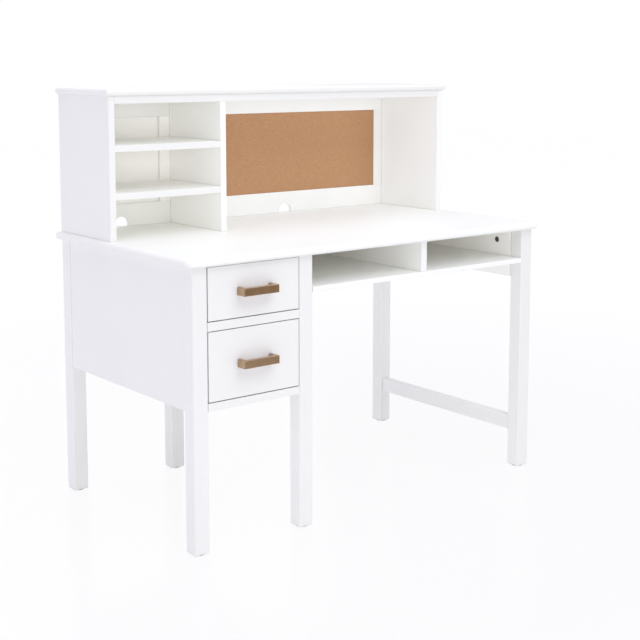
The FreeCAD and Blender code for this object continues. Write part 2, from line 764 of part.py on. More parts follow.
def main():
    """Build the desk, the hutch and the drawers, check them and write the parts."""
    desktop = build_desktop()
    build_legs()
    build_foot_glides()
    build_pedestal()
    build_battens()
    side_apron = build_aprons()
    build_cubbies()
    build_hutch_case()
    lower_rail = build_hutch_back()
    build_apron_cams(side_apron, desktop)
    build_hutch_screws(desktop, lower_rail)
    cabinet_members = Piece("runner_cabinet_members")
    for name, front_base, front_height, middle in (
            ("lower", lower_front_base, s.lower_front_height, lower_front_middle),
            ("upper", upper_front_base, upper_front_height, upper_front_middle)):
        build_drawer(name, front_base, front_height)
        build_runners(cabinet_members, name, middle)
    doc.recompute()
    check_document()
    write_parts()
    print(f"{len(bodies())} sub-parts written")


main()
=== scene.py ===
"""Dresses a student desk with a hutch: finishes, eased arrises, fasteners, ball bearings and the studio.

Metres throughout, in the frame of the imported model: +X to the sitter's right, +Y to the rear and +Z up,
with the origin on the floor.
"""

import logging
import math
from dataclasses import dataclass
from enum import Enum
from typing import Iterable, Sequence

import bmesh
import bpy
from mathutils import Matrix, Vector


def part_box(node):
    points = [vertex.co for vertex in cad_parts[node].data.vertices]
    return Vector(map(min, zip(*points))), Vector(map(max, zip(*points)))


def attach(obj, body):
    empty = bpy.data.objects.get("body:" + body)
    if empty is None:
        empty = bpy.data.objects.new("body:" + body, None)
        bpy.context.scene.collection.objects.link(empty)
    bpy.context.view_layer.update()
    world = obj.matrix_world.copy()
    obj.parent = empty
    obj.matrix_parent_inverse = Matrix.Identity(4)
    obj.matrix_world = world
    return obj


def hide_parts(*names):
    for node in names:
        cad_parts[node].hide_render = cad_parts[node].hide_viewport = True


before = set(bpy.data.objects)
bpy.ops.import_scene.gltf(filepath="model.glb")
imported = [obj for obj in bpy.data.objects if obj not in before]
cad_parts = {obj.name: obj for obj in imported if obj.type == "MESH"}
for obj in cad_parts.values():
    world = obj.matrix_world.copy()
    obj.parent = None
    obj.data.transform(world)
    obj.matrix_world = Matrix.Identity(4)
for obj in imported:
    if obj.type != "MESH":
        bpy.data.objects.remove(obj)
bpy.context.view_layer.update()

LOG = logging.getLogger("student_desk")
IMAGE_SIDE = 640
SENSOR_WIDTH = 36.0

Socket = bpy.types.NodeSocket
Outputs = bpy.types.NodeOutputs
Tree = bpy.types.NodeTree
Object = bpy.types.Object
Ring = list[bmesh.types.BMVert]
Colour = tuple[float, float, float]
Point = tuple[float, float, float]
Flat = tuple[float, float]
Value = float | tuple[float, ...] | Socket


class Slot(Enum):
    """The record's material slots, named for each built piece."""

    ZINC_STEEL = "zinc_steel"
    GLIDE_NYLON = "glide_nylon"


class Along(Enum):
    """The direction of wood grain or brushing, as how much faster its pattern changes on each axis."""

    X = (0.03, 1.0, 1.0)
    Y = (1.0, 0.03, 1.0)
    Z = (1.0, 1.0, 0.03)


# Shader nodes
# ------------

FULL: Flat = (0.0, 1.0)
NOISE_RANGE: Flat = (0.3, 0.7)
SHEEN_RANGE: Flat = (0.25, 0.75)
SMOOTH, ROUGH, CRISP = 2.0, 3.0, 4.0  # how often noise breaks up into finer noise
RAY_SAMPLES = 6


class NodeBoard:
    """Places nodes in a tree and joins them, so that a recipe reads from top to bottom."""

    def __init__(self, tree: Tree) -> None:
        """Keeps the tree that the nodes go into."""
        self.tree = tree

    def place(self, kind: str, inputs: dict[str | int, Value] | None = None, **settings: object) -> Outputs:
        """Adds one node.

        Args:
            kind: The node's type. A shader node's leaves out ShaderNode in front.
            inputs: What each input takes, by its name or place.
            settings: The node's own properties.

        Returns:
            The node's outputs.
        """
        node = self.tree.nodes.new(kind if "Node" in kind else "ShaderNode" + kind)
        for name, value in settings.items():
            setattr(node, name, value)
        for name, value in (inputs or {}).items():
            self.feed(node.inputs[name], value)
        return node.outputs

    def feed(self, socket: Socket, value: Value) -> None:
        """Gives an input a value, or joins it to another node's output.

        Args:
            socket: The input.
            value: A plain value or an output.
        """
        if isinstance(value, Socket):
            self.tree.links.new(value, socket)
        else:
            socket.default_value = value

    def sum_up(self, operation: str, first: Value, second: Value) -> Socket:
        """One sum on two numbers, with the operation named as the Math node names it."""
        return self.place("Math", {0: first, 1: second}, operation=operation)[0]

    def times(self, first: Value, second: Value) -> Socket:
        """The product of two numbers."""
        return self.sum_up("MULTIPLY", first, second)

    def blend(self, first: Value, second: Value, share: float) -> Socket:
        """Two numbers added up, the first by its share and the second by the rest."""
        return self.sum_up("ADD", self.times(first, share), self.times(second, 1 - share))

    def vector(self, operation: str, first: Value, second: Value) -> Outputs:
        """One sum on two vectors, with the operation named as the Vector Math node names it."""
        return self.place("VectorMath", {0: first, 1: second}, operation=operation)

    def noise(self, vector: Value, scale: Value, detail: float = ROUGH) -> Socket:
        """Soft noise from 0 to 1."""
        return self.place("TexNoise", {"Vector": vector, "Scale": scale, "Detail": detail})[0]

    def remap(self, value: Value, source: Flat, target: Flat = FULL) -> Socket:
        """A number moved from one range to another and held inside it."""
        inputs = {0: value, 1: source[0], 2: source[1], 3: target[0], 4: target[1]}
        return self.place("MapRange", inputs)[0]

    def mix(self, share: Value, first: Value, second: Value) -> Socket:
        """Two colours mixed: the first at a share of 0, the second at 1."""
        return self.place("Mix", {0: share, 6: first, 7: second}, data_type="RGBA")[2]

    def lay_over(self, under: Value, over: Value, share: float, mask: Value, source: Flat) -> Socket:
        """One colour over another, up to a share, as a mask goes through a range."""
        return self.mix(self.remap(mask, source, (0.0, share)), under, over)


def opaque(colour: Colour) -> tuple[float, float, float, float]:
    """A colour with full alpha, as colour sockets take it."""
    return (*colour, 1.0)


def shaded(colour: Colour, factor: float) -> tuple[float, float, float, float]:
    """A colour made lighter or darker, as colour sockets take it."""
    return (*(min(1.0, part * factor) for part in colour), 1.0)


class Effect(NodeBoard):
    """A node group with named sockets, shared by all that use it and built at its first use."""

    KIND = "ShaderNodeTree"
    INPUTS: tuple[str, ...] = ()
    OUTPUTS: tuple[str, ...] = ()
    SOCKETS = {"Position": "Vector", "Stretch": "Vector", "Geometry": "Geometry"}

    def __init__(self, tree: Tree) -> None:
        """Places the node that the group's inputs come from."""
        super().__init__(tree)
        self.entry = self.place("NodeGroupInput")

    @classmethod
    def group(cls) -> Tree:
        """Builds the group at its first use.

        Returns:
            Its tree.
        """
        found = bpy.data.node_groups.get(cls.__name__)
        if found:
            return found
        tree = bpy.data.node_groups.new(cls.__name__, cls.KIND)
        for direction, sockets in (("INPUT", cls.INPUTS), ("OUTPUT", cls.OUTPUTS)):
            for name in sockets:
                kind = "NodeSocket" + cls.SOCKETS.get(name, "Float")
                tree.interface.new_socket(name, in_out=direction, socket_type=kind)
        made = cls(tree)
        made.place("NodeGroupOutput", made.draw())
        return tree

    def draw(self) -> dict[str, Value]:
        """Places the group's own nodes and gives what each of its outputs takes."""
        raise NotImplementedError


class SprayedFilm(Effect):
    """The skin of a sprayed or moulded surface: fine peel, slow waves and slight changes of tone."""

    INPUTS = ("Position", "Peel")
    OUTPUTS = ("Height", "Sheen", "Tone")
    WAVES_TO_PEEL = 0.12
    PEEL_SHARE = 0.6
    SHEEN_SCALE = 22.0
    TONE_SCALE = 5.0

    def draw(self) -> dict[str, Value]:
        """Peel at the given number of bumps to the metre, with slow waves under it.

        Returns:
            What each output takes.
        """
        place = self.entry["Position"]
        peel = self.noise(place, self.entry["Peel"])
        waves = self.noise(place, self.times(self.entry["Peel"], self.WAVES_TO_PEEL), SMOOTH)
        return {
            "Height": self.blend(peel, waves, self.PEEL_SHARE),
            "Sheen": self.noise(place, self.SHEEN_SCALE, CRISP),
            "Tone": self.noise(place, self.TONE_SCALE),
        }


class FineLines(Effect):
    """Fine lines in one direction: grain that shows through paint, or the brushing of metal."""

    INPUTS = ("Position", "Stretch", "Lines")
    OUTPUTS = ("Lines",)
    FINE_TO_COARSE = 4.0
    COARSE_SHARE = 0.55

    def draw(self) -> dict[str, Value]:
        """Noise drawn out along one axis, at two sizes.

        Returns:
            What each output takes.
        """
        drawn_out = self.vector("MULTIPLY", self.entry["Position"], self.entry["Stretch"])[0]
        coarse = self.noise(drawn_out, self.entry["Lines"])
        closer = self.times(self.entry["Lines"], self.FINE_TO_COARSE)
        fine = self.noise(drawn_out, closer, SMOOTH)
        return {"Lines": self.blend(coarse, fine, self.COARSE_SHARE)}


class ArrisMask(Effect):
    """A piece's outer arrises, broken up by noise: where hands and cloths rub it, and on the bronze pulls
    where painted shade darkens it.
    """

    INPUTS = ("Position", "Reach")
    OUTPUTS = ("Arrises",)
    LIKENESS = (0.999, 0.86)
    BREAKS = 180.0
    BROKEN_FROM = (0.35, 0.62)
    BROKEN_TO = (0.4, 1.0)

    def draw(self) -> dict[str, Value]:
        """One at an arris and nothing beyond its reach, in metres.

        Returns:
            What each output takes.
        """
        turned = self.place("Bevel", {"Radius": self.entry["Reach"]}, samples=RAY_SAMPLES)["Normal"]
        faced = self.place("NewGeometry")["Normal"]
        arris = self.remap(self.vector("DOT_PRODUCT", turned, faced)["Value"], self.LIKENESS)
        noise = self.noise(self.entry["Position"], self.BREAKS)
        broken = self.remap(noise, self.BROKEN_FROM, self.BROKEN_TO)
        return {"Arrises": self.times(arris, broken)}


class PaintedJointShade(Effect):
    """Painted shade: darkens the narrow inner corners at which one board meets another, by how closed in they
    are.
    """

    INPUTS = ("Reach",)
    OUTPUTS = ("PaintedShade",)
    OPENNESS = (0.80, 0.45)

    def draw(self) -> dict[str, Value]:
        """One at the bottom of an inner corner and nothing beyond its reach, in metres."""
        # ambient occlusion, which becomes painted shade in the base colour
        around = self.place("AmbientOcclusion", {"Distance": self.entry["Reach"]}, samples=RAY_SAMPLES)
        return {"PaintedShade": self.remap(around["AO"], self.OPENNESS)}


class Granules(Effect):
    """Packed grains: a random shade for each grain, and the furrows between them."""

    INPUTS = ("Position", "Grains")
    OUTPUTS = ("Shade", "Swell")
    BENDS = 900.0
    BEND_REACH = (0.0011, 0.0011, 0.0011)
    CROWN_TO_FURROW = (0.15, 0.75)

    def draw(self) -> dict[str, Value]:
        """Cells at the given number of grains to the metre, with their outlines bent by noise.

        Returns:
            What each output takes.
        """
        place = self.entry["Position"]
        noise = self.place("TexNoise", {"Vector": place, "Scale": self.BENDS})
        shift = self.vector("MULTIPLY", noise["Color"], self.BEND_REACH)[0]
        bent = self.vector("ADD", place, shift)[0]
        cells = self.place("TexVoronoi", {"Vector": bent, "Scale": self.entry["Grains"]})
        shade = self.place("SeparateColor", {0: cells["Color"]})[0]
        return {"Shade": shade, "Swell": self.remap(cells["Distance"], self.CROWN_TO_FURROW, (1.0, 0.0))}


# Finishes
# --------


@dataclass
class Finish(NodeBoard):
    """What every finish has. Its material is made the first time that a piece takes it."""

    name: str
    colour: Colour
    roughness: float
    swing: float = 0.06
    metallic: float = 0.0

    def material(self) -> bpy.types.Material:
        """Makes the material at its first use.

        Returns:
            The finish's material.
        """
        found = bpy.data.materials.get(self.name)
        if found:
            return found
        made = bpy.data.materials.new(self.name)
        made.use_nodes = True
        made.diffuse_color = opaque(self.colour)
        self.tree = made.node_tree
        self.shader = self.tree.nodes["Principled BSDF"].inputs
        self.show(opaque(self.colour), self.roughness)
        self.feed(self.shader["Metallic"], self.metallic)
        self.spot = self.place("TexCoord")["Object"]
        self.lay()
        return made

    def lay(self) -> None:
        """Adds what varies over the surface."""
        raise NotImplementedError

    def add(self, effect: type[Effect], **inputs: Value) -> Outputs:
        """Adds an effect.

        Args:
            effect: The effect, which gets the piece's own place if it takes one.
            inputs: What its other inputs take.

        Returns:
            The effect's outputs.
        """
        if "Position" in effect.INPUTS:
            inputs["Position"] = self.spot
        return self.place("Group", inputs, node_tree=effect.group())

    def show(self, colour: Value, roughness: Value) -> None:
        """Gives the shader its colour and its roughness."""
        self.feed(self.shader["Base Color"], colour)
        self.feed(self.shader["Roughness"], roughness)

    def relief(self, height: Value, depth: float) -> None:
        """Gives the shader a relief, whose height from 0 to 1 stands for a depth in metres."""
        bump = self.place("Bump", {"Height": height, "Distance": depth})["Normal"]
        self.feed(self.shader["Normal"], bump)

    def sheen(self, value: Value) -> Socket:
        """A roughness that swings about the finish's own as a value goes from 0 to 1."""
        return self.remap(value, SHEEN_RANGE, (self.roughness - self.swing, self.roughness + self.swing))

    def toned(self, share: Value, low: float, high: float) -> Socket:
        """The finish's own colour between two factors of it, by a share from 0 to 1."""
        return self.mix(share, shaded(self.colour, low), shaded(self.colour, high))


@dataclass
class JointShadedFinish(Finish):
    """A finish whose colour is darkened in the joints by painted shade."""

    # painted shade in the joints: how far it reaches, how much of it and how dark
    shade_reach: float = 0.0035
    shade_share: float = 0.38
    shade_tone: float = 0.3

    def joint_shaded(self, unshaded: Value) -> Socket:
        """A colour darkened in the joints by painted shade."""
        joint_shade = self.times(self.add(PaintedJointShade, Reach=self.shade_reach)["PaintedShade"], self.shade_share)
        return self.mix(joint_shade, unshaded, shaded(self.colour, self.shade_tone))


@dataclass
class SatinPaint(JointShadedFinish):
    """Satin paint, sprayed on fibreboard or on solid wood whose grain faintly shows through."""

    swing: float = 0.05
    gloss: float = 0.35
    peel: float = 620.0
    peel_depth: float = 0.000012
    tones: Flat = (0.985, 1.006)
    grain: Along | None = None
    grain_lines: float = 420.0
    grain_share: float = 0.45
    arris_reach: float = 0.0012
    arris_share: float = 0.35
    rub_tone: float = 1.03
    rub_polish: float = 0.08

    def lay(self) -> None:
        """Orange peel, slight changes of tone and sheen, a thin film on arrises and painted shade in the
        joints.
        """
        self.feed(self.shader["Specular IOR Level"], self.gloss)
        film = self.add(SprayedFilm, Peel=self.peel)
        height = film["Height"]
        if self.grain:
            lines = self.add(FineLines, Stretch=self.grain.value, Lines=self.grain_lines)["Lines"]
            height = self.sum_up("ADD", height, self.times(lines, self.grain_share))
        rub = self.add(ArrisMask, Reach=self.arris_reach)["Arrises"]
        body = self.toned(self.remap(film["Tone"], NOISE_RANGE), *self.tones)
        thin = self.times(rub, self.arris_share)
        arris_toned = self.mix(thin, body, shaded(self.colour, self.rub_tone))
        polish = self.times(rub, self.rub_polish)
        sheen = self.sum_up("SUBTRACT", self.sheen(film["Sheen"]), polish)
        self.show(self.joint_shaded(arris_toned), sheen)
        self.relief(height, self.peel_depth)


@dataclass
class Foil(Finish):
    """Foil on the boards of the drawer boxes, with a faint embossed texture."""

    texture: float = 1500.0
    texture_depth: float = 0.00002
    darkest: float = 0.97
    tone_range: Flat = NOISE_RANGE

    def lay(self) -> None:
        """The texture's relief, and a tone and a sheen that change slowly."""
        film = self.add(SprayedFilm, Peel=self.texture)
        body = self.toned(self.remap(film["Tone"], self.tone_range), self.darkest, 1.0)
        self.show(body, self.sheen(film["Sheen"]))
        self.relief(film["Height"], self.texture_depth)


@dataclass
class MouldedNylon(Foil):
    """Moulded nylon, whose spark-eroded grain is finer than the foil's texture."""

    texture: float = 2200.0
    texture_depth: float = 0.00001
    darkest: float = 0.9
    tone_range: Flat = FULL


@dataclass
class CorkSheet(JointShadedFinish):
    """Fine-grained pressed cork with darker bark and a few pale grains."""

    swing: float = 0.07
    # painted shade along the cork's frame
    shade_reach: float = 0.004
    shade_share: float = 0.55
    shade_tone: float = 0.35
    grains: float = 640.0
    large_to_small: float = 0.36
    grain_depth: float = 0.00028
    large_relief: float = 0.6
    tones: Flat = (0.88, 1.10)
    bark: Colour = (0.33, 0.165, 0.08)
    bark_share: float = 0.30
    bark_grains: Flat = (0.86, 0.97)
    pale: Colour = (0.74, 0.50, 0.30)
    pale_share: float = 0.22
    pale_grains: Flat = (0.93, 0.985)
    furrow_tone: float = 0.55
    furrow_share: float = 0.16
    furrow_range: Flat = (0.45, 0.0)
    patches: float = 9.0
    patch_tone: float = 0.8
    patch_share: float = 0.10
    thrown: Colour = (0.56, 0.50, 0.49)

    def lay(self) -> None:
        """Grains of two sizes, slow patches and painted shade along the frame. What it throws on others is
        paler.
        """
        small = self.add(Granules, Grains=self.grains)
        large = self.add(Granules, Grains=self.grains * self.large_to_small)
        body = self.toned(small["Shade"], *self.tones)
        for over, share, mask, source in (
            (opaque(self.bark), self.bark_share, large["Shade"], self.bark_grains),
            (opaque(self.pale), self.pale_share, small["Shade"], self.pale_grains),
            (shaded(self.colour, self.furrow_tone), self.furrow_share, small["Swell"], self.furrow_range),
            (shaded(self.colour, self.patch_tone), self.patch_share,
             self.noise(self.spot, self.patches), NOISE_RANGE),
        ):
            body = self.lay_over(body, over, share, mask, source)
        onward = self.place("LightPath")["Is Diffuse Ray"]
        colour = self.mix(onward, self.joint_shaded(body), opaque(self.thrown))
        self.show(colour, self.sheen(small["Shade"]))
        height = self.sum_up("ADD", small["Swell"], self.times(large["Swell"], self.large_relief))
        self.relief(height, self.grain_depth)


@dataclass
class BrushedMetal(Finish):
    """Metal with fine brushing and arrises of another tone: rubbed bright, or darkened by painted shade and
    reflection.
    """

    swing: float = 0.09
    metallic: float = 1.0
    arris: Colour = (0.8, 0.8, 0.8)
    brushing: Along = Along.X
    lines: float = 1400.0
    line_depth: float = 0.000012
    contrast: float = 0.22
    toning: float = 60.0
    toning_tone: float = 0.72
    toning_share: float = 0.35
    toning_range: Flat = (0.35, 0.7)
    arris_reach: float = 0.0009
    arris_share: float = 0.6

    def lay(self) -> None:
        """Brushed lines in tone, roughness and height, slow toning, and the arrises' tone, which on the
        bronze is painted shade.
        """
        lines = self.add(FineLines, Stretch=self.brushing.value, Lines=self.lines)["Lines"]
        body = self.toned(self.remap(lines, NOISE_RANGE), 1 - self.contrast, 1 + self.contrast)
        toning = self.noise(self.spot, self.toning)
        over = shaded(self.colour, self.toning_tone)
        toned = self.lay_over(body, over, self.toning_share, toning, self.toning_range)
        arris_toned = self.times(self.add(ArrisMask, Reach=self.arris_reach)["Arrises"], self.arris_share)
        # on the bronze the arris colour is painted shade and reflection
        self.show(self.mix(arris_toned, toned, opaque(self.arris)), self.sheen(lines))
        self.relief(lines, self.line_depth)


@dataclass
class CastMetal(Finish):
    """Die-cast zinc: a dull, finely pitted skin that is brighter on its arrises."""

    swing: float = 0.08
    metallic: float = 1.0
    grains: float = 1600.0
    pit_depth: float = 0.00003
    tones: Flat = (0.85, 1.1)
    arris_reach: float = 0.0006
    rub_tone: float = 1.7

    def lay(self) -> None:
        """Pits from packed grains, and rubbed arrises."""
        skin = self.add(Granules, Grains=self.grains)
        body = self.toned(skin["Shade"], *self.tones)
        rub = self.add(ArrisMask, Reach=self.arris_reach)["Arrises"]
        self.show(self.mix(rub, body, shaded(self.colour, self.rub_tone)), self.sheen(skin["Swell"]))
        self.relief(skin["Swell"], self.pit_depth)


@dataclass
class PolishedSteel(Finish):
    """Hardened balls: polished, with a trace of grease that breaks up the shine."""

    metallic: float = 1.0
    grease: float = 420.0
    grease_range: Flat = (0.4, 0.65)
    grease_tone: float = 0.8

    def lay(self) -> None:
        """A bright metal whose roughness and tone change with the grease."""
        film = self.remap(self.noise(self.spot, self.grease, CRISP), self.grease_range)
        self.show(self.toned(film, 1.0, self.grease_tone), self.sheen(film))


WHITE: Colour = (0.93, 0.926, 0.897)
BOARD_PAINT = SatinPaint("satin_paint_on_board", WHITE, 0.50)
WOOD_PAINT = {way: SatinPaint(f"satin_paint_on_wood_{way.name.lower()}", WHITE, 0.50, grain=way)
              for way in Along}
FOIL = Foil("drawer_foil", (0.84, 0.84, 0.825), 0.52)
CORK = CorkSheet("pressed_cork", (0.495, 0.265, 0.131), 0.88)
# the bronze's dark arris colour is painted shade: it stands in for the dark reflection and shadow on the
# pull's chamfers
BRONZE = BrushedMetal("antique_bronze_brushed", (0.52, 0.372, 0.243), 0.40, arris=(0.20, 0.125, 0.075))
ZINC = BrushedMetal("zinc_plated_steel", (0.62, 0.63, 0.65), 0.30, brushing=Along.Y, contrast=0.08)
CAST_ZINC = CastMetal("cast_zinc", (0.30, 0.30, 0.31), 0.45)
BEARING_STEEL = PolishedSteel("bearing_steel", (0.72, 0.73, 0.75), 0.14)
GLIDE_NYLON = MouldedNylon("glide_nylon_moulded", (0.32, 0.32, 0.33), 0.45)
LEVER_NYLON = MouldedNylon("lever_nylon_moulded", (0.035, 0.035, 0.038), 0.42)


# Meshes
# ------


class SmoothFaces(Effect):
    """The modifier tree that shades every face smooth."""

    KIND = "GeometryNodeTree"
    INPUTS = OUTPUTS = ("Geometry",)

    def draw(self) -> dict[str, Value]:
        """The same geometry with smooth faces."""
        smoothed = self.place("GeometryNodeSetShadeSmooth", {"Geometry": self.entry[0]})
        return {"Geometry": smoothed[0]}


@dataclass(frozen=True)
class Arris:
    """How the sharp edges of a piece are eased."""

    width: float
    segments: int = 2
    sharper_than: float = math.radians(35)
    join_within: float = 0.000005
    flat_weight: int = 100

    def ease(self, item: Object) -> None:
        """Adds modifiers that join the faces, round the arrises and keep flat faces flat.

        Args:
            item: The piece.
        """
        weld = item.modifiers.new("joined_faces", "WELD")
        weld.merge_threshold = self.join_within
        item.modifiers.new("smooth_faces", "NODES").node_group = SmoothFaces.group()
        bevel = item.modifiers.new("eased_arrises", "BEVEL")
        bevel.width = self.width
        bevel.segments = self.segments
        bevel.limit_method = "ANGLE"
        bevel.angle_limit = self.sharper_than
        item.modifiers.new("flat_faces", "WEIGHTED_NORMAL").weight = self.flat_weight


BOARD_ARRIS = Arris(0.0009)
THIN_ARRIS = Arris(0.0004)
METAL_ARRIS = Arris(0.00025)


def dress(names: Iterable[str], finish: Finish, arris: Arris | None = None) -> None:
    """Gives carried-over nodes a finish.

    Args:
        names: The nodes.
        finish: What they take.
        arris: How their sharp edges are eased, or None where they keep the edges they have.
    """
    for name in names:
        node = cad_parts[name]
        for slot in node.material_slots:
            slot.material = finish.material()
        if arris:
            arris.ease(node)
        LOG.info("%s: %s", name, finish.name)


def housed(mesh: bmesh.types.BMesh, name: str) -> Object:
    """Puts a mesh, which is used up, into a new object of the scene.

    Args:
        mesh: The mesh.
        name: What the object and its data are called.

    Returns:
        The object.
    """
    data = bpy.data.meshes.new(name)
    mesh.to_mesh(data)
    mesh.free()
    made = bpy.data.objects.new(name, data)
    bpy.context.scene.collection.objects.link(made)
    return made


class Solid:
    """A piece in the making: shapes are added to one mesh, which then becomes a named object."""

    BALL_SPLITS = 2
    JOIN_WITHIN = 0.000002
    SHARP_FROM = math.radians(32)

    def __init__(self) -> None:
        """Starts with an empty mesh."""
        self.mesh = bmesh.new()

    def ring(self, points: Iterable[Point], place: Matrix) -> Ring:
        """Adds points, moved to their place."""
        return [self.mesh.verts.new(place @ Vector(point)) for point in points]

    def skin(self, rings: Sequence[Ring]) -> None:
        """Joins rings by four-sided faces.

        Args:
            rings: The rings in order, each of as many points.
        """
        for lower, upper in zip(rings, rings[1:]):
            for face in zip(lower, lower[1:] + lower[:1], upper[1:] + upper[:1], upper):
                self.mesh.faces.new(face)

    def cap(self, ring: Ring) -> None:
        """Closes a ring with one flat face."""
        self.mesh.faces.new(ring)

    def fill_between(self, outer: Ring, inner: Ring) -> None:
        """Fills the flat face between two rings that already carry walls."""
        edges = [self.mesh.edges.get(pair) for ring in (outer, inner) for pair in zip(ring[-1:] + ring, ring)]
        bmesh.ops.triangle_fill(self.mesh, use_beauty=True, edges=edges)

    def prism(self, outline: Sequence[Flat], length: float, place: Matrix) -> None:
        """Adds a straight bar with one section.

        Args:
            outline: The section's corners in the local XY plane.
            length: How far it runs along local Z.
            place: Where the local frame stands.
        """
        rings = [self.ring(((x, y, level) for x, y in outline), place) for level in (0.0, length)]
        self.skin(rings)
        for ring in rings:
            self.cap(ring)

    def ball(self, radius: float, centre: Vector) -> None:
        """Adds a round ball of even triangles."""
        bmesh.ops.create_icosphere(
            self.mesh, subdivisions=self.BALL_SPLITS, radius=radius, matrix=Matrix.Translation(centre))

    def holder(self, name: str = "stock") -> Object:
        """Puts the mesh, which is used up, into an object, its faces turned outwards."""
        bmesh.ops.recalc_face_normals(self.mesh, faces=self.mesh.faces)
        return housed(self.mesh, name)

    def cut(self, tool: "Solid") -> None:
        """Takes another solid away from this one.

        Args:
            tool: The other, which is used up.
        """
        stock, cutter = self.holder(), tool.holder()
        taken = stock.modifiers.new("cut", "BOOLEAN")
        taken.solver = "EXACT"
        taken.object = cutter
        graph = bpy.context.evaluated_depsgraph_get()
        result = bpy.data.meshes.new_from_object(stock.evaluated_get(graph))
        self.mesh = bmesh.new()
        self.mesh.from_mesh(result)
        for spent in (stock.data, cutter.data, result):
            bpy.data.meshes.remove(spent)

    def piece(self, name: str, finish: Finish, body: str, slot: Slot, replaced: Iterable[str] = ()) -> Object:
        """Turns the mesh into a finished piece.

        Args:
            name: The piece's name.
            finish: What it takes.
            body: The moving body that carries it.
            slot: The record's slot for its finish. Not used.
            replaced: The nodes that it replaces.

        Returns:
            The new object.
        """
        bmesh.ops.remove_doubles(self.mesh, verts=self.mesh.verts, dist=self.JOIN_WITHIN)
        made = self.holder(name)
        made.data.materials.append(finish.material())
        made.data.shade_smooth()
        made.data.set_sharp_from_angle(angle=self.SHARP_FROM)
        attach(made, body)
        if replaced:
            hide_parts(*replaced)
        LOG.info("%s: built, %s, rides on %s", name, finish.name, body)
        return made


def arc(centre: Flat, radius: float, start: float, end: float, steps: int = 4) -> list[Flat]:
    """Points on an arc between two angles in degrees."""
    angles = [math.radians(start + (end - start) * step / steps) for step in range(steps + 1)]
    return [(centre[0] + radius * math.cos(angle), centre[1] + radius * math.sin(angle)) for angle in angles]


def round_bar(length: float, width: float, steps: int = 10) -> list[Flat]:
    """The outline of a slot with round ends along the first axis, or of a circle."""
    reach = (length - width) / 2
    return arc((reach, 0.0), width / 2, -90, 90, steps) + arc((-reach, 0.0), width / 2, 90, 270, steps)


def standing(place: Point, first: Point, second: Point, third: Point) -> Matrix:
    """The frame at a place whose three axes point in the given directions."""
    return Matrix.Translation(place) @ Matrix((first, second, third)).transposed().to_4x4()


def facing(place: Point, direction: Point) -> Matrix:
    """The frame at a place whose Z axis points in a direction."""
    return Matrix.Translation(place) @ Vector(direction).to_track_quat("Z", "Y").to_matrix().to_4x4()


@dataclass(frozen=True)
class Screw:
    """A pan-head screw with a crossed recess. Its own origin is under the head, which points along +Z."""

    shank_radius: float
    length: float
    head_radius: float
    head_height: float
    pitch: float
    thread_depth: float = 0.18
    rows_to_turn: int = 4
    tip_share: float = 0.35
    tip_length: float = 2.5
    crown_share: float = 0.64
    crown_steps: int = 5
    rim: tuple[Flat, ...] = ((0.96, 0.0), (1.0, 0.1))
    shoulder: Flat = (0.35, 0.65)
    recess: tuple[Point, ...] = ((0.86, 0.13, 1.0), (0.516, 0.06, 0.35))
    quarters: tuple[Flat, ...] = ((1, 0), (0, 1), (-1, 0), (0, -1))
    steps: int = 24

    def add_to(self, solid: Solid, place: Matrix) -> None:
        """Adds the screw to a mesh as one closed skin.

        Args:
            solid: The mesh.
            place: Where the underside of its head stands, and which way it points.
        """
        skin = [solid.ring(points, place) for points in (*self.shank(), *self.head())]
        solid.skin(skin)
        solid.cap(skin[0])
        crown = self.head_radius * self.crown_share
        recess = [
            solid.ring(((x, y, self.head_height * level) for x, y in
                        self.cross(crown * reach, self.head_radius * half_width)), place)
            for reach, half_width, level in self.recess
        ]
        solid.skin(recess)
        solid.cap(recess[1])
        solid.fill_between(skin[-1], recess[0])

    def head(self) -> list[list[Point]]:
        """Draws the head.

        Returns:
            Its rings, from the underside's rim to the flat of the crown.
        """
        crown = self.head_radius * self.crown_share
        foot, rise = self.shoulder
        quarter = arc((0.0, 0.0), 1.0, 0, 90, self.crown_steps)
        section = [(self.head_radius * x, y) for x, y in self.rim] + [
            (crown + (self.head_radius - crown) * x, foot + rise * y) for x, y in quarter]
        return [[(x, y, self.head_height * level) for x, y in arc((0.0, 0.0), reach, 0, 360, self.steps)[:-1]]
                for reach, level in section]

    def shank(self) -> list[list[Point]]:
        """Draws the threaded shank, with one helical ridge.

        Returns:
            Its rings, from the tip to the head.
        """
        rows = round(self.length / self.pitch * self.rows_to_turn)
        rings = []
        for row in range(rows + 1):
            along = self.length * (1 - row / rows)
            taper = min(1.0, self.tip_share + (self.length - along) / (self.shank_radius * self.tip_length))
            ring = []
            for step in range(self.steps):
                phase = (along / self.pitch - step / self.steps) % 1.0
                radius = self.shank_radius * taper * (1.0 - self.thread_depth * abs(phase * 2 - 1))
                turn = 2 * math.pi * step / self.steps
                ring.append((radius * math.cos(turn), radius * math.sin(turn), -along))
            rings.append(ring)
        return rings

    def cross(self, reach: float, half_width: float) -> list[Flat]:
        """The twelve corners of a cross, from the reach and half the width of its arms."""
        arm = ((reach, -half_width), (reach, half_width), (half_width, half_width))
        return [(x * cos - y * sin, x * sin + y * cos) for cos, sin in self.quarters for x, y in arm]


# The desk
# --------


